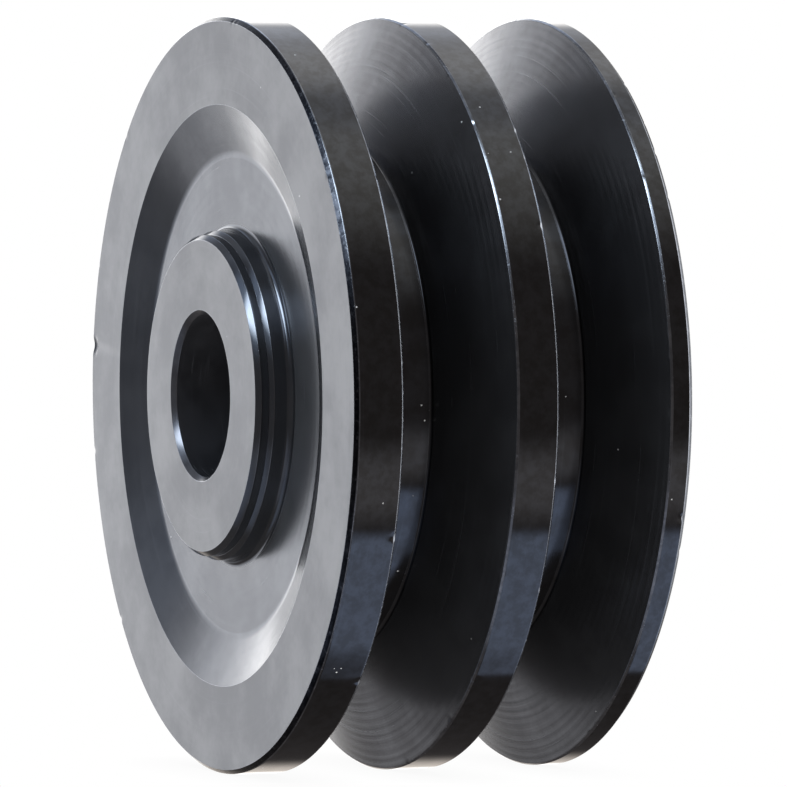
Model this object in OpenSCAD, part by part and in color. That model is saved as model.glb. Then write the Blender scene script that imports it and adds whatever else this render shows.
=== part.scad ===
// Double-groove V-belt pulley, built up from turned discs and rings on a headed bush.
// Millimetres. The shaft axis runs along Y, the dished front face looks towards -Y, and the
// origin is on the shaft axis at the middle of the middle rim.

/* [Rims] */
// Outside diameter over the rims
rim_d = 79.5; // [72:0.5:100]
// Width of the flat top of the front rim
front_rim_w = 5.2; // [3:0.1:8]
// Width of the flat top of the middle rim
middle_rim_w = 4.45; // [3:0.05:8]
// Width of the flat top of the rear rim
rear_rim_w = 2.45; // [2:0.05:8]
// Chamfer on the outer corner of the front and rear faces
rim_chamfer = 0.45; // [0.2:0.05:1]
// Broken edge where a groove wall meets a rim
edge_break = 0.15; // [0.05:0.05:0.3]

/* [Belt grooves] */
// Width of a groove between its two rims
groove_mouth_w = 12.5; // [10:0.1:14]
// Angle between the two walls of a groove
groove_angle = 40; // [34:1:42]
// Diameter of the cylindrical floor of a groove
groove_floor_d = 54.8; // [52:0.1:60]
// Radius in the corner between a groove wall and the floor
groove_corner_r = 0.4; // [0.2:0.1:0.8]

/* [Dished faces] */
// Diameter of the edge of the dish on the face
dish_d = 61.1; // [56:0.1:64]
// Diameter at which the sloping wall of the dish meets the flat web
web_d = 50.8; // [46:0.1:54]
// Depth of the flat web below the face
dish_depth = 1.8; // [1:0.1:4]
// Radius that blends the sloping wall into the web
web_blend_r = 2.5; // [1:0.1:4]

/* [Hub] */
// Distance that the hub face stands proud of the front face
hub_proud = 1.95; // [0.5:0.05:4]
// Diameter of the bush head, the outer step of the hub
head_d = 33.7; // [30:0.1:36]
// Chamfer around the hub face
head_chamfer = 0.5; // [0.2:0.05:1]
// Length of the bush head along the axis
head_len = 1.38; // [0.8:0.02:2]
// Diameter of the boss behind the head, the inner step of the hub
boss_d = 34.6; // [31:0.1:38]
// Length of the sloping shoulder between the head and the boss
shoulder_len = 0.4; // [0.2:0.05:1]
// Radius of the fillet between the boss and the web
boss_fillet_r = 0.8; // [0.4:0.1:2]

/* [Bush and bore] */
// Diameter of the shaft bore
bore_d = 17; // [12:0.1:22]
// Chamfer at both mouths of the bore
bore_chamfer = 0.5; // [0.2:0.1:1]
// Outside diameter of the bush shank that the discs are pressed on
shank_d = 25.5; // [24:0.5:28]
// Chamfer at the rear end of the shank
shank_chamfer = 0.4; // [0.2:0.1:1]

/* [Hidden] */
segments = 180;

rim_r = rim_d / 2;
floor_r = groove_floor_d / 2;
dish_r = dish_d / 2;
web_r = web_d / 2;
head_r = head_d / 2;
boss_r = boss_d / 2;
bore_r = bore_d / 2;
shank_r = shank_d / 2;

// Length along the axis that one sloping groove wall takes up, down to the sharp corner
wall_run = (rim_r - floor_r) * tan(groove_angle / 2);
// Distance from that sharp corner to where the corner radius touches the wall and the floor
foot_run = groove_corner_r * tan(45 - groove_angle / 4);
floor_ring_w = groove_mouth_w - 2 * (wall_run + foot_run);

// Stations along the shaft axis, from the front to the rear
front_y = -(middle_rim_w / 2 + groove_mouth_w + front_rim_w);
hub_face_y = front_y - hub_proud;
head_back_y = hub_face_y + head_len;
rear_y = middle_rim_w / 2 + groove_mouth_w + rear_rim_w;
front_ring_y = -(middle_rim_w / 2 + groove_mouth_w - wall_run - foot_run);
rear_ring_y = middle_rim_w / 2 + wall_run + foot_run;

// Angle of the dish wall away from the face, and where its blend arc touches the web
dish_slope = atan(dish_depth / (dish_r - web_r));
blend_run = web_blend_r * tan(dish_slope / 2);

// Turns a flat outline around the shaft axis: x is the radius, y the place along the axis
module turned() {
    rotate([-90, 0, 0]) rotate_extrude($fn = segments) children();
}

// Square-ended ring from one radius and place to another
module ring_outline(inner_r, outer_r, from_y, to_y) {
    translate([inner_r, from_y]) square([outer_r - inner_r, to_y - from_y]);
}

// Outline points of one sloping V wall, from the rim's broken edge down to the groove floor.
// The rim's flat top ends at half_w. The last two points are where the corner radius touches
// the wall and the floor
function wall_points(half_w) = [
    [rim_r, half_w - edge_break],
    [rim_r - edge_break, half_w + edge_break * tan(groove_angle / 2)],
    [
        floor_r + foot_run * cos(groove_angle / 2),
        half_w + wall_run - foot_run * sin(groove_angle / 2)
    ],
    [floor_r, half_w + wall_run + foot_run]
];

// The same points on the other side of the middle, in the opposite order
function mirrored(points) = [
    for (i = [len(points) - 1 : -1 : 0]) [points[i].x, -points[i].y]
];

// Circle that hollows the corner radius out of the metal between those last two points
module corner_circle(half_w) {
    translate([floor_r + groove_corner_r, half_w + wall_run + foot_run])
        circle(r = groove_corner_r, $fn = segments);
}

// End disc with its face at y = 0 and its V wall at the back
module end_flange_outline(rim_w) {
    difference() {
        polygon(concat(
            [[shank_r, 0], [rim_r - rim_chamfer, 0], [rim_r, rim_chamfer]],
            wall_points(rim_w),
            [[shank_r, rim_w + wall_run + foot_run]]
        ));
        corner_circle(rim_w);
    }
}

// Everything that turning takes out of a face: the dish wall, its blend and the flat web,
// as far in as the boss
module dish_outline() {
    difference() {
        polygon([
            [0, -1],
            [dish_r + 1 / tan(dish_slope), -1],
            [web_r, dish_depth],
            [0, dish_depth]
        ]);
        // leaves the metal below the blend arc
        difference() {
            translate([web_r - blend_run, dish_depth - web_blend_r])
                square([blend_run * (1 + cos(dish_slope)), web_blend_r]);
            translate([web_r - blend_run, dish_depth - web_blend_r])
                circle(r = web_blend_r, $fn = segments);
        }
    }
}

// The boss that stays in the middle of a dish, with its fillet down to the web
module boss_outline(front_edge_y) {
    translate([shank_r, front_edge_y]) square([boss_r - shank_r, dish_depth - front_edge_y]);
    difference() {
        translate([boss_r, dish_depth - boss_fillet_r]) square(boss_fillet_r);
        translate([boss_r + boss_fillet_r, dish_depth - boss_fillet_r])
            circle(r = boss_fillet_r, $fn = segments);
    }
}

// Sloping shoulder taken off the front corner of the boss
module shoulder_cut_outline(front_edge_y) {
    polygon([
        [head_r, front_edge_y - 1],
        [boss_r + 1, front_edge_y - 1],
        [boss_r + 1, front_edge_y + shoulder_len],
        [boss_r, front_edge_y + shoulder_len],
        [head_r, front_edge_y]
    ]);
}

module hub_bush() {
    color([0.27, 0.28, 0.31])
    turned() difference() {
        union() {
            // head with its chamfered face
            polygon([
                [0, hub_face_y],
                [head_r - head_chamfer, hub_face_y],
                [head_r, hub_face_y + head_chamfer],
                [head_r, head_back_y],
                [0, head_back_y]
            ]);
            // shank with its chamfered rear end
            polygon([
                [0, hub_face_y + head_chamfer],
                [shank_r, hub_face_y + head_chamfer],
                [shank_r, rear_y - shank_chamfer],
                [shank_r - shank_chamfer, rear_y],
                [0, rear_y]
            ]);
        }
        // bore with a chamfer at each mouth
        polygon([
            [0, hub_face_y - 1],
            [bore_r + bore_chamfer + 1, hub_face_y - 1],
            [bore_r, hub_face_y + bore_chamfer],
            [bore_r, rear_y - bore_chamfer],
            [bore_r + bore_chamfer + 1, rear_y + 1],
            [0, rear_y + 1]
        ]);
    }
}

module front_flange() {
    color([0.30, 0.31, 0.34])
    turned() translate([0, front_y]) {
        difference() {
            end_flange_outline(front_rim_w);
            dish_outline();
        }
        difference() {
            boss_outline(head_back_y - front_y);
            shoulder_cut_outline(head_back_y - front_y);
        }
    }
}

module front_groove_ring() {
    color([0.24, 0.25, 0.28])
    turned() ring_outline(shank_r, floor_r, front_ring_y, front_ring_y + floor_ring_w);
}

module middle_flange() {
    half_w = middle_rim_w / 2;
    half_len = half_w + wall_run + foot_run;
    color([0.30, 0.31, 0.34])
    turned() difference() {
        polygon(concat(
            [[shank_r, -half_len]],
            mirrored(wall_points(half_w)),
            wall_points(half_w),
            [[shank_r, half_len]]
        ));
        corner_circle(half_w);
        mirror([0, 1]) corner_circle(half_w);
    }
}

module rear_groove_ring() {
    color([0.24, 0.25, 0.28])
    turned() ring_outline(shank_r, floor_r, rear_ring_y, rear_ring_y + floor_ring_w);
}

module rear_flange() {
    color([0.30, 0.31, 0.34])
    turned() translate([0, rear_y]) mirror([0, 1]) {
        difference() {
            end_flange_outline(rear_rim_w);
            dish_outline();
        }
        boss_outline(0);
    }
}

hub_bush();
front_flange();
front_groove_ring();
middle_flange();
rear_groove_ring();
rear_flange();
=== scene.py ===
"""Looks of a double-groove V-belt pulley in black-oxide steel, built around its CAD frame."""

import math
import random
from collections import namedtuple

import bpy
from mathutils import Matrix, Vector


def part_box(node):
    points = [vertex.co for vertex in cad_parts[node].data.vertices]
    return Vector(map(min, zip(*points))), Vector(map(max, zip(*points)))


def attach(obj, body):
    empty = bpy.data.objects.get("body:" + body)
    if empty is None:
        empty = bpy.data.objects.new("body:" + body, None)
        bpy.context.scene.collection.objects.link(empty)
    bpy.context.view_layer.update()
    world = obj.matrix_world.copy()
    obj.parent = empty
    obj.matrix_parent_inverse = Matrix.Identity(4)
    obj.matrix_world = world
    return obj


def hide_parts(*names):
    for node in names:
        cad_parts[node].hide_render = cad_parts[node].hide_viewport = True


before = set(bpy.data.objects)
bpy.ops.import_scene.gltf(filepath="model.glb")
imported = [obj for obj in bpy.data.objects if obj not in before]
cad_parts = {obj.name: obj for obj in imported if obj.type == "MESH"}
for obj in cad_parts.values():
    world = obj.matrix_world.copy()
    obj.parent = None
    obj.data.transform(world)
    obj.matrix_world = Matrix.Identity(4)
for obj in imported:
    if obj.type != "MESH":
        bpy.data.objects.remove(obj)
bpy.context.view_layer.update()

MM = 0.001
BODY = "root"
SEED = 7
TURNS = 960                # even steps round a turned piece with dents, half as many without
SHARP_ANGLE = 30           # degrees between two faces that are shaded apart

RIM_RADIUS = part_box("middle_flange")[1].x
FLOOR_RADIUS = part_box("front_groove_ring")[1].x
HEAD_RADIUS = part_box("hub_bush")[1].x
REAR_FACE_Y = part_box("rear_flange")[1].y
# the boss of the front flange stands further forward than its face
FRONT_FACE_Y = min(
    v.co.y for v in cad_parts["front_flange"].data.vertices
    if math.hypot(v.co.x, v.co.z) > 0.9 * RIM_RADIUS
)

# Corners of a turned outline
STRAIGHT_ANGLE = 0.5       # degrees, a smaller turn isn't a corner
ROUNDED_ANGLE = 15         # degrees, a smaller outward turn stays as it is
ARC_STEPS = 4              # steps across a rounded edge
ARC_SHARE = 0.45           # most of a stretch that the arc at one of its ends may take
EDGE_RADIUS = 0.07 * MM    # broken edges that can be seen
SEAM_RADIUS = 0.015 * MM   # pressed joints on the groove floors
CHAMFER_BLEND_RADIUS = 0.18 * MM  # where the chamfer of an end face runs into the rim
CHAMFER_REACH = 0.6 * MM   # from an end face past its chamfer
SAME = 0.02 * MM           # two places closer than this are the same

# How far the zones of the surface reach
BORE_REACH = 0.56          # the bore and its chamfers, as a share of the bush head's radius
BOSS_REACH = 1.4 * MM      # the boss and its fillet, past the bush head
FLOOR_CORNER_REACH = 0.28 * MM    # the radius in the corners of a groove floor, above the floor
CHAMFER_DEPTH = 1.0 * MM   # chamfers and broken edges of the rims, inside the rim radius
CHAMFER_LENGTH = 0.3 * MM  # a shorter slope there is a broken edge

# How the zones of the surface face, as parts of a unit vector
SQUARE_ON = 0.99           # flat zones, along the axis or away from it
CHAMFER_OUT = 0.3          # chamfers and broken edges, away from the axis
CHAMFER_ALONG = 0.5        # and along it
FLOOR_OUT = 0.05           # the corners of a groove floor, away from the axis
DISH_IN = 0.02             # the wall of the dish, towards the axis

# Knocks on the rims
DENTED_DEPTH = 2.0 * MM    # dents are only this far inside the rims
EXPOSED_DEPTH = 0.6 * MM   # corners this near the rim radius get knocked
DENTS_PER_PIECE = 30
DENT_WIDTHS = (0.3 * MM, 0.55 * MM)
DENT_DEPTHS = (0.06, 0.2)  # as a share of the width
SUPPORTS = (0.12 * MM, 0.3 * MM, 0.6 * MM, 1.0 * MM, 1.4 * MM)  # extra points from a corner
SUPPORTED_LENGTH = 1.0 * MM       # a shorter stretch gets none
SUPPORTED_SHARE = 0.45     # share of a stretch that they may reach along it

# The one deep nick, in the edge of the front face on the side away from the camera
NICKED = "front_flange"
NICK_ANGLE = math.radians(173.6)
NICK_INSET = 0.6 * MM
NICK_WIDTH = 1.2 * MM
NICK_DEPTH = 0.3 * MM


# ---------------------------------------------------------------- shapes

def read_outline(node):
    """Closed outline of a turned CAD node as (place along the axis, radius) points, in order.

    Each ring of vertices is one point. The walk goes from a ring to the neighbour that it
    shares the most mesh edges with, which is the next ring along the surface.
    """
    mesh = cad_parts[node].data
    rings, places, ring_of = {}, {}, []
    for vertex in mesh.vertices:
        x, y, z = vertex.co
        here = Vector((y, math.hypot(x, z)))
        key = (round(here.x / MM, 2), round(here.y / MM, 2))
        ring_of.append(key)
        rings.setdefault(key, {})
        places.setdefault(key, []).append(here)
    for edge in mesh.edges:
        a, b = (ring_of[i] for i in edge.vertices)
        if a != b:
            rings[a][b] = rings[a].get(b, 0) + 1
            rings[b][a] = rings[b].get(a, 0) + 1
    outline = [min(rings)]
    while True:
        nexts = [(shared, key) for key, shared in rings[outline[-1]].items() if key not in outline]
        if not nexts:
            break
        outline.append(max(nexts)[1])
    return [Vector((places[key][0].x, max(p.y for p in places[key]))) for key in outline]


def signed_area(points):
    return sum(a.x * b.y - b.x * a.y for a, b in zip(points, points[1:] + points[:1])) / 2


def drop_straight(points):
    """The outline without the points that lie on a straight stretch."""
    kept = []
    for i, here in enumerate(points):
        before, after = here - points[i - 1], points[(i + 1) % len(points)] - here
        if before.angle(after) > math.radians(STRAIGHT_ANGLE):
            kept.append(here)
    return kept


def edge_radius(point):
    """Radius of the broken edge at a corner of the outline."""
    if abs(point.y - FLOOR_RADIUS) < SAME:
        return SEAM_RADIUS
    near_end = min(point.x - FRONT_FACE_Y, REAR_FACE_Y - point.x) < CHAMFER_REACH
    if near_end and abs(point.y - RIM_RADIUS) < SAME:
        return CHAMFER_BLEND_RADIUS
    return EDGE_RADIUS


def round_corners(points):
    """Replaces each outward corner by a short arc. Returns the points, and for each stretch
    that starts at one whether it is part of such an arc."""
    out, on_edge = [], []
    for i, here in enumerate(points):
        before, after = here - points[i - 1], points[(i + 1) % len(points)] - here
        turn = before.angle_signed(after)      # positive at an outward corner
        if turn < math.radians(ROUNDED_ANGLE):
            out.append(here)
            on_edge.append(False)
            continue
        reach = edge_radius(here) * math.tan(turn / 2)
        reach = min(reach, before.length * ARC_SHARE, after.length * ARC_SHARE)
        start, end = here - before.normalized() * reach, here + after.normalized() * reach
        for k in range(ARC_STEPS + 1):
            t = k / ARC_STEPS
            out.append(start * (1 - t) ** 2 + here * 2 * t * (1 - t) + end * t ** 2)
            on_edge.append(k < ARC_STEPS)
    return out, on_edge


def support_edges(points, zones):
    """Adds points beside the corners near the rims on plain stretches, so dents stay local."""
    out, out_zones = [], []
    for i, here in enumerate(points):
        end = points[(i + 1) % len(points)]
        step = end - here
        near = [d for d in SUPPORTS if d < SUPPORTED_SHARE * step.length]
        if step.length <= SUPPORTED_LENGTH:
            near = []
        added = [here]
        if here.y > RIM_RADIUS - DENTED_DEPTH:
            added += [here + step.normalized() * d for d in near]
        if end.y > RIM_RADIUS - DENTED_DEPTH:
            added += [end - step.normalized() * d for d in reversed(near)]
        out += added
        out_zones += [zones[i]] * len(added)
    return out, out_zones


# push is the direction that a dent goes in, as (along the axis, away from the axis)
Dent = namedtuple("Dent", "place angle width depth push")


def lathe(name, outline, dents):
    """Closed mesh of an outline turned once round the shaft axis, with its dents pressed in."""
    full = 2 * math.pi
    count, turns = len(outline), TURNS if dents else TURNS // 2
    vertices, faces = [], []
    for i in range(turns):
        angle = full * i / turns
        arcs = [(d, ((angle - d.angle + math.pi) % full - math.pi) * d.place.y) for d in dents]
        near = [(dent, arc) for dent, arc in arcs if abs(arc) < dent.width]
        for p in outline:
            for dent, arc in near:
                away = math.hypot(arc, (p - dent.place).length) / dent.width
                if away < 1:
                    p = p + dent.push * dent.depth * (1 - away ** 2) ** 2
            vertices.append((p.y * math.cos(angle), p.x, p.y * math.sin(angle)))
        for k in range(count):
            a, b = i * count + k, i * count + (k + 1) % count
            shift = ((i + 1) % turns - i) * count
            faces.append((a, b, b + shift, a + shift))
    mesh = bpy.data.meshes.new(name)
    mesh.from_pydata(vertices, [], faces)
    mesh.polygons.foreach_set("use_smooth", [True] * len(mesh.polygons))
    mesh.update()
    mesh.set_sharp_from_angle(angle=math.radians(SHARP_ANGLE))
    piece = bpy.data.objects.new(name, mesh)
    bpy.context.scene.collection.objects.link(piece)
    flat = piece.modifiers.new("flat_faces", "WEIGHTED_NORMAL")
    flat.mode = "FACE_AREA"
    flat.keep_sharp = True
    return piece, turns


def edge_dents(corners, rng):
    """Small knocks at random places along the corners that stick out furthest."""
    exposed = [c for c in corners if c.y > RIM_RADIUS - EXPOSED_DEPTH]
    if not exposed:
        return []
    middle = sum(exposed, Vector((0, 0))) / len(exposed)
    dents = []
    for _ in range(DENTS_PER_PIECE):
        corner = rng.choice(exposed)
        push = Vector((math.copysign(1, middle.x - corner.x), -1)).normalized()
        width = rng.uniform(*DENT_WIDTHS)
        angle = rng.randrange(TURNS) * 2 * math.pi / TURNS
        dents.append(Dent(corner, angle, width, width * rng.uniform(*DENT_DEPTHS), push))
    return dents


def nick(corners):
    corner = max((c for c in corners if abs(c.x - FRONT_FACE_Y) < SAME), key=lambda c: c.y)
    place = corner - Vector((0, NICK_INSET))
    return Dent(place, NICK_ANGLE, NICK_WIDTH, NICK_DEPTH, Vector((1, 0)))


def zone_of(start, end):
    """Which kind of surface a stretch of the outline is, by where it lies and how it faces."""
    middle, along = (start + end) / 2, (end - start).normalized()
    faces_out, faces_along = along.x, -along.y
    if middle.y < HEAD_RADIUS * BORE_REACH:
        return "bore"
    if middle.y < HEAD_RADIUS + BOSS_REACH:
        return "face" if abs(faces_along) > SQUARE_ON else "hub"
    sloping = faces_out > CHAMFER_OUT and abs(faces_along) > CHAMFER_ALONG
    if middle.y > RIM_RADIUS - CHAMFER_DEPTH and sloping:
        return "chamfer" if (end - start).length > CHAMFER_LENGTH else "edge"
    if middle.y < FLOOR_RADIUS + FLOOR_CORNER_REACH and faces_out > FLOOR_OUT:
        return "floor"
    if faces_out > SQUARE_ON:
        return "rim" if middle.y > RIM_RADIUS - SAME else "floor"
    if faces_out < -DISH_IN:
        return "dish"
    if abs(faces_along) > SQUARE_ON:
        return "web" if FRONT_FACE_Y + SAME < middle.x < REAR_FACE_Y - SAME else "face"
    return "wall"


# ---------------------------------------------------------------- materials

class Nodes:
    """Short way to add shader nodes. A socket value that is itself a socket becomes a link."""

    def __init__(self, tree):
        self.tree = tree

    def add(self, kind, sockets=None, **settings):
        node = self.tree.nodes.new("ShaderNode" + kind)
        for name, value in settings.items():
            setattr(node, name, value)
        for socket, value in (sockets or {}).items():
            if isinstance(value, bpy.types.NodeSocket):
                self.tree.links.new(value, node.inputs[socket])
            else:
                node.inputs[socket].default_value = value
        return node

    def math(self, operation, a, b=0.0, c=0.0):
        return self.add("Math", {0: a, 1: b, 2: c}, operation=operation).outputs[0]

    def vector(self, x, y, z):
        return self.add("CombineXYZ", {0: x, 1: y, 2: z}).outputs[0]

    def noise(self, vector, scale, detail=3.0, rough=0.5):
        sockets = {"Vector": vector, "Scale": scale, "Detail": detail, "Roughness": rough}
        return self.add("TexNoise", sockets).outputs["Fac"]

    def remap(self, value, low, high, to_low=0.0, to_high=1.0, smooth=False):
        kind = "SMOOTHSTEP" if smooth else "LINEAR"
        sockets = {"Value": value, "From Min": low, "From Max": high}
        sockets.update({"To Min": to_low, "To Max": to_high})
        return self.add("MapRange", sockets, interpolation_type=kind).outputs[0]

    def mix(self, factor, a, b):
        node = self.add("Mix", data_type="RGBA")
        for socket, value in (("Factor_Float", factor), ("A_Color", a), ("B_Color", b)):
            target = next(i for i in node.inputs if i.identifier == socket)
            if isinstance(value, bpy.types.NodeSocket):
                self.tree.links.new(value, target)
            else:
                target.default_value = value if socket == "Factor_Float" else (*value, 1)
        return next(o for o in node.outputs if o.identifier == "Result_Color")

    def specks(self, vector, scale, size, share):
        """1 inside small dots with soft edges. share of the cells of a grid have one."""
        cells = self.add("TexVoronoi", {"Vector": vector, "Scale": scale}, feature="F1")
        pick = self.add("SeparateColor", {0: cells.outputs["Color"]}).outputs[0]
        chosen = self.math("LESS_THAN", pick, share)
        dot = self.remap(cells.outputs["Distance"], size, size * SPECK_CORE)
        return self.math("MULTIPLY", chosen, dot)


# How each kind of surface looks. dark and light are the two ends of the oxide's mottling; on the chamfers
# both are set far darker as painted shade, and on the broken edges brighter as a painted highlight over
# worn bare steel.
# grain_mm is the pitch of the turning marks, depth_um their depth, and feed how much of it is
# the even pitch of the tool's feed. matt is the share that scatters like paint. scratches, dust
# and wear go from 0 to 1.
Finish = namedtuple(
    "Finish", "dark light rough spread cloud_mm grain_mm depth_um feed stretch matt scratches dust wear"
)
FINISHES = {
    "face": Finish((.112, .115, .122), (.160, .163, .168), .30, .05, 14, .45, .8, 0, .3, .05, .2, .04, 0),
    "dish": Finish((.116, .121, .132), (.150, .155, .166), .19, .04, 9, .50, 4, .3, .5, .1, .2, .04, 0),
    "web": Finish((.112, .116, .126), (.145, .150, .160), .24, .04, 9, .55, 4, .4, .5, .3, .3, .06, 0),
    "hub": Finish((.115, .121, .136), (.140, .146, .158), .11, .03, 5, .35, .6, 0, .3, .1, .1, .06, 0),
    "bore": Finish((.095, .095, .104), (.155, .155, .168), .20, .05, 6, .60, 14, .6, .4, .25, .7, .05, 0),
    "rim": Finish((.110, .107, .106), (.142, .142, .147), .085, .03, 1.3, .40, .2, 0, 0, 0, .1, .6, 0),
    "floor": Finish((.099, .097, .098), (.130, .133, .142), .11, .03, 3, .40, .3, 0, 0, 0, .2, .3, 0),
    "wall": Finish((.110, .110, .116), (.148, .150, .158), .22, .05, 8, .55, 11, .5, .6, .12, .5, .1, 0),
    # chamfer: colours far darker than the oxide, a painted shade that keeps the chamfers dark under the
    # front pane
    "chamfer": Finish((.012, .013, .016), (.040, .042, .049), .20, .1, 1, .15, 1, 0, 0, 0, .4, .1, .14),
    # edge: bare steel where the oxide is rubbed off the broken edges, made brighter still as a painted
    # highlight so they show as thin bright lines
    "edge": Finish((.26, .27, .29), (.40, .41, .43), .16, .06, 1.5, .40, .8, 0, 0, 0, 0, 0, .45),
}
TOOL_FEED_MM = 1.15            # pitch of the feed marks, along the profile
LEAST_ROUGH = 0.03
BARE_STEEL = (.60, .62, .66)
DUST_COLOUR = (.75, .75, .74)

# Ranges of a noise, from 0 to 1, over which each layer fades in, and what the layer does
CLOUD_FADE = (0.36, 0.64)
HAIR_FADE = (0.62, 0.80)
HAIR_TURNS = (2.6, 1.3, 1.3)   # scratches are finer than the rings, and break off sooner
HAIR_BARE = 0.25               # how much bare steel shows in a scratch
HAIR_ROUGH = 0.12
WEAR_MM = 0.55                 # size of the worn patches
WEAR_FADE = (0.56, 0.66)
WEAR_ROUGH = 0.25
DUST_MM = 1.6                  # one speck at most in each cell of this size
DUST_SIZE = 0.075              # of a speck, as a share of its cell
DUST_CELLS = 0.5               # share of the cells that have one when dust is 1
SPECK_CORE = 0.6               # share of a speck's width inside its soft edge
DUST_ROUGH = 0.5


def black_oxide(name, finish):
    """Turned steel with a black-oxide skin: cloudy mottling, rings left by the tool, dust."""
    material = bpy.data.materials.new(name)
    material.use_nodes = True
    nodes, links = Nodes(material.node_tree), material.node_tree.links
    shader = material.node_tree.nodes["Principled BSDF"]
    shader.inputs["Anisotropic"].default_value = finish.stretch

    place = nodes.add("TexCoord").outputs["Object"]
    x, y, z = nodes.add("SeparateXYZ", {0: place}).outputs
    radius = nodes.math("SQRT", nodes.math("MULTIPLY_ADD", x, x, nodes.math("MULTIPLY", z, z)))

    # rings round the axis: the noise changes fast along the profile and slowly round it
    along = nodes.math("DIVIDE", nodes.math("ADD", radius, y), finish.grain_mm * MM)
    turn_x, turn_z = nodes.math("DIVIDE", x, radius), nodes.math("DIVIDE", z, radius)
    profile = nodes.vector(along, turn_x, turn_z)
    rings = nodes.noise(profile, 1.0, detail=2.0, rough=0.6)
    cloud = nodes.noise(place, 1 / (finish.cloud_mm * MM), detail=5.0, rough=0.7)

    mottling = nodes.remap(cloud, *CLOUD_FADE, smooth=True)
    colour = nodes.mix(mottling, finish.dark, finish.light)
    smoother = nodes.math("SUBTRACT", 0.5, cloud)
    rough = nodes.math("MULTIPLY_ADD", smoother, 2 * finish.spread, finish.rough)
    rough = nodes.math("MULTIPLY_ADD", nodes.math("SUBTRACT", rings, 0.5), finish.spread, rough)

    if finish.scratches:
        finer = nodes.add("VectorMath", {0: profile, 1: HAIR_TURNS}, operation="MULTIPLY").outputs[0]
        hair = nodes.noise(finer, 1.0, detail=1.0)
        hair = nodes.remap(hair, *HAIR_FADE, 0, finish.scratches, smooth=True)
        colour = nodes.mix(nodes.math("MULTIPLY", hair, HAIR_BARE), colour, BARE_STEEL)
        rough = nodes.math("MULTIPLY_ADD", hair, HAIR_ROUGH, rough)
    if finish.wear:
        patches = nodes.noise(place, 1 / (WEAR_MM * MM), rough=0.75)
        bare = nodes.remap(patches, *WEAR_FADE, 0, finish.wear)
        colour = nodes.mix(bare, colour, BARE_STEEL)
        rough = nodes.math("MULTIPLY_ADD", bare, WEAR_ROUGH, rough)
    if finish.dust:
        specks = nodes.specks(place, 1 / (DUST_MM * MM), DUST_SIZE, finish.dust * DUST_CELLS)
        colour = nodes.mix(specks, colour, DUST_COLOUR)
        rough = nodes.math("MULTIPLY_ADD", specks, DUST_ROUGH, rough)
        metal = nodes.math("MULTIPLY", nodes.math("SUBTRACT", 1.0, specks), 1 - finish.matt)
        links.new(metal, shader.inputs["Metallic"])
    else:
        shader.inputs["Metallic"].default_value = 1 - finish.matt
    height = rings
    if finish.feed:
        phase = nodes.math("MULTIPLY", along, 2 * math.pi * finish.grain_mm / TOOL_FEED_MM)
        height = nodes.math("MULTIPLY_ADD", nodes.math("SINE", phase), finish.feed / 2, rings)
    depth = finish.depth_um * MM / 1000
    bump = nodes.add("Bump", {"Height": height, "Strength": 1.0, "Distance": depth})

    links.new(colour, shader.inputs["Base Color"])
    links.new(nodes.math("MAXIMUM", rough, LEAST_ROUGH), shader.inputs["Roughness"])
    links.new(bump.outputs[0], shader.inputs["Normal"])
    if finish.stretch:
        tangent = nodes.add("Tangent", direction_type="RADIAL", axis="Y")
        links.new(tangent.outputs[0], shader.inputs["Tangent"])
    return material


MATERIALS = {zone: black_oxide(zone + "_steel", finish) for zone, finish in FINISHES.items()}

# ---------------------------------------------------------------- pieces

PIECES = {
    "hub_bush": "bush_steel",
    "front_flange": "flange_steel",
    "front_groove_ring": "ring_steel",
    "middle_flange": "flange_steel",
    "rear_groove_ring": "ring_steel",
    "rear_flange": "flange_steel",
}


def turned_piece(node, rng):
    corners = drop_straight(read_outline(node))
    if signed_area(corners) > 0:
        corners.reverse()
    points, on_edge = round_corners(corners)
    ends = points[1:] + points[:1]
    zones = ["edge" if edge else zone_of(a, b) for a, b, edge in zip(points, ends, on_edge)]
    outline, zones = support_edges(points, zones)
    dents = edge_dents(corners, rng)
    if node == NICKED:
        dents.append(nick(corners))
    piece, turns = lathe(node + "_turned", outline, dents)
    used = sorted(set(zones))
    for zone in used:
        piece.data.materials.append(MATERIALS[zone])
    index = [used.index(zone) for zone in zones]
    piece.data.polygons.foreach_set("material_index", index * turns)
    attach(piece, BODY)
    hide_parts(node)


rng = random.Random(SEED)
for node, slot in PIECES.items():
    turned_piece(node, rng)

# ---------------------------------------------------------------- camera

CAMERA_AZIMUTH = 68.33
CAMERA_ELEVATION = 1.777
CAMERA_DISTANCE = 841.5 * MM
CAMERA_TARGET = Vector((0.28, -0.155, 0)) * MM
SENSOR = 36
LENS = 363.5


def direction(azimuth, elevation):
    """Unit vector towards a viewer there. Azimuth 0 is in front of the dished face."""
    a, e = math.radians(azimuth), math.radians(elevation)
    return Vector((math.sin(a) * math.cos(e), -math.cos(a) * math.cos(e), math.sin(e)))


def make_camera():
    data = bpy.data.cameras.new("camera")
    data.sensor_width = SENSOR
    data.lens = LENS
    camera = bpy.data.objects.new("camera", data)
    back = direction(CAMERA_AZIMUTH, CAMERA_ELEVATION)
    camera.location = CAMERA_TARGET + back * CAMERA_DISTANCE
    camera.rotation_euler = (-back).to_track_quat("-Z", "Y").to_euler()
    bpy.context.scene.collection.objects.link(camera)
    bpy.context.scene.camera = camera


make_camera()

# ---------------------------------------------------------------- studio

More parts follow.
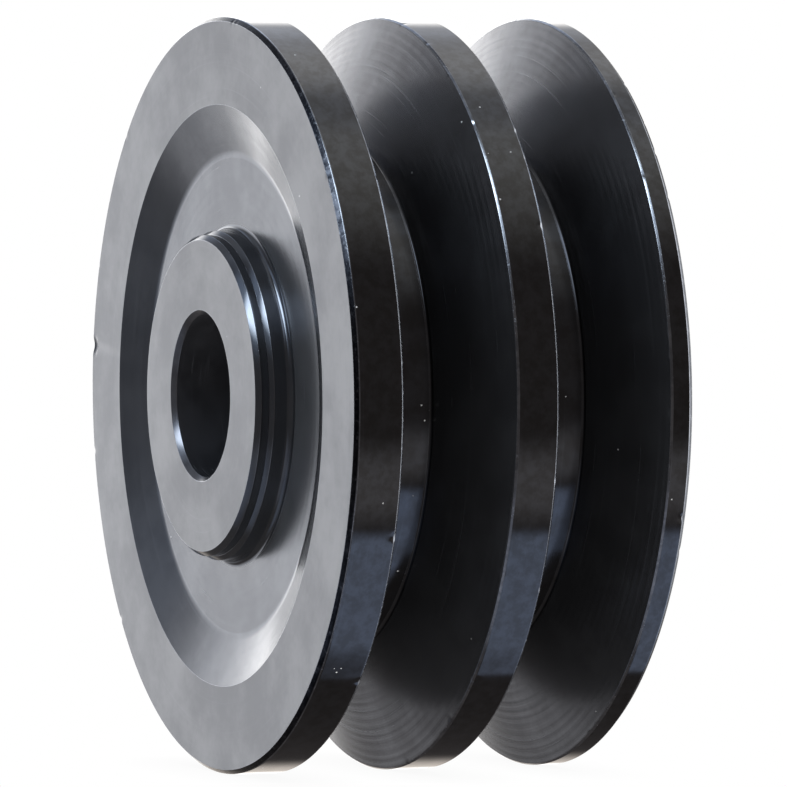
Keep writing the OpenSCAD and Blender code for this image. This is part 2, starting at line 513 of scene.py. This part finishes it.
# Soft boxes round the pulley, in degrees: azimuth and height of the middle, half width, half
# height, and how far the edge fades. Azimuth 0 is in front of the dished face, 90 is where
# the rims look towards +X.
SoftBox = namedtuple("SoftBox", "azimuth height half_w half_h fade colour")
SOFT_BOXES = {
    "left_key": SoftBox(-98, 5, 18, 16, 6, (2.4, 2.38, 2.36)),
    "left_fill": SoftBox(-70, 4, 13, 15, 8, (1.58, 1.61, 1.69)),
    "left_near": SoftBox(-45, 3, 10, 14, 8, (0.34, 0.39, 0.48)),
    "left_haze": SoftBox(-98, 38, 18, 14, 10, (0.60, 0.70, 0.90)),
    "left_top": SoftBox(-62, 38, 18, 14, 10, (0.17, 0.19, 0.22)),
    "front_window": SoftBox(0, 38, 26, 14, 10, (0.45, 0.58, 0.78)),
    "front_pane": SoftBox(8, 41, 13, 11, 5, (6.0, 6.9, 7.8)),
    "front_top": SoftBox(-35, 55, 20, 12, 8, (0.20, 0.23, 0.28)),
    "right_high": SoftBox(45, 55, 18, 15, 10, (1.1, 1.3, 1.6)),
    "left_low": SoftBox(-103, -19, 14, 8, 6, (0.85, 0.77, 0.69)),
    "left_low_near": SoftBox(-62, -17, 10, 6, 5, (0.58, 0.59, 0.62)),
    "front_low": SoftBox(-15, -34, 22, 14, 8, (0.18, 0.22, 0.30)),
    "right_front_low": SoftBox(35, -45, 25, 20, 8, (0.18, 0.20, 0.25)),
    "right_mid": SoftBox(112, -24, 20, 9, 6, (0.20, 0.20, 0.21)),
    "right_low": SoftBox(150, -53, 40, 15, 2, (0.33, 0.42, 0.60)),
    "right_rear_top": SoftBox(140, 64, 40, 14, 16, (0.36, 0.37, 0.365)),
    "rear_left": SoftBox(-118, 45, 22, 30, 12, (0.38, 0.37, 0.35)),
    "rear_high": SoftBox(-150, 55, 35, 12, 10, (0.45, 0.48, 0.52)),
    "rear_fill": SoftBox(180, 8, 36, 32, 15, (1.7, 1.75, 1.85)),
    "overhead": SoftBox(0, 78, 180, 10, 10, (0.28, 0.30, 0.32)),
}
AMBIENT = (0.085, 0.078, 0.078)


def soft_box_light(nodes, towards, box):
    """Colour that one soft box sends from a direction."""
    x, y, z = towards
    a = math.radians(box.azimuth)
    x_side, y_side = nodes.math("MULTIPLY", x, math.cos(a)), nodes.math("MULTIPLY", y, math.sin(a))
    x_ahead, y_ahead = nodes.math("MULTIPLY", x, math.sin(a)), nodes.math("MULTIPLY", y, math.cos(a))
    side = nodes.math("ADD", x_side, y_side)
    ahead = nodes.math("SUBTRACT", x_ahead, y_ahead)
    off_side = nodes.math("ABSOLUTE", nodes.math("ARCTAN2", side, ahead))
    height = nodes.math("ARCSINE", z)
    off_height = nodes.math("ABSOLUTE", nodes.math("SUBTRACT", height, math.radians(box.height)))
    light = 1.0
    for off, half in ((off_side, box.half_w), (off_height, box.half_h)):
        inner, outer = math.radians(half - box.fade), math.radians(half + box.fade)
        light = nodes.math("MULTIPLY", nodes.remap(off, outer, inner, smooth=True), light)
    return nodes.add("VectorMath", {0: box.colour, "Scale": light}, operation="SCALE").outputs[0]


def make_world():
    world = bpy.data.worlds.new("studio")
    bpy.context.scene.world = world
    world.use_nodes = True
    nodes = Nodes(world.node_tree)
    towards = nodes.add("SeparateXYZ", {0: nodes.add("TexCoord").outputs["Generated"]}).outputs
    total = AMBIENT
    for box in SOFT_BOXES.values():
        light = soft_box_light(nodes, towards, box)
        total = nodes.add("VectorMath", {0: light, 1: total}, operation="ADD").outputs[0]
    seen = nodes.add("LightPath").outputs["Is Camera Ray"]
    colour = nodes.mix(seen, total, (1, 1, 1))
    world.node_tree.links.new(colour, world.node_tree.nodes["Background"].inputs["Color"])


make_world()

FLOOR_HALF = 3.0        # half the width of the floor
FLOOR_WHITE = (1, 1, 1)
FLOOR_SHADE = (0.94, 0.94, 0.94)
SHADE_REACH = 7 * MM    # from the rims, where the pulley stands


def make_floor():
    """Plain pale floor under the rims, with a faint shade where the pulley stands."""
    half, z = FLOOR_HALF, -RIM_RADIUS
    mesh = bpy.data.meshes.new("floor")
    corners = [(-half, -half, z), (half, -half, z), (half, half, z), (-half, half, z)]
    mesh.from_pydata(corners, [], [(0, 1, 2, 3)])
    floor = bpy.data.objects.new("floor", mesh)
    bpy.context.scene.collection.objects.link(floor)
    floor.visible_glossy = False
    material = bpy.data.materials.new("pale_floor")
    material.use_nodes = True
    nodes = Nodes(material.node_tree)
    clear = nodes.add("AmbientOcclusion", {"Distance": SHADE_REACH}).outputs["AO"]
    glow = nodes.add("Emission", {"Color": nodes.mix(clear, FLOOR_SHADE, FLOOR_WHITE)})
    output = material.node_tree.nodes["Material Output"]
    material.node_tree.links.new(glow.outputs[0], output.inputs["Surface"])
    mesh.materials.append(material)


make_floor()

bpy.context.scene.view_settings.view_transform = "Standard"
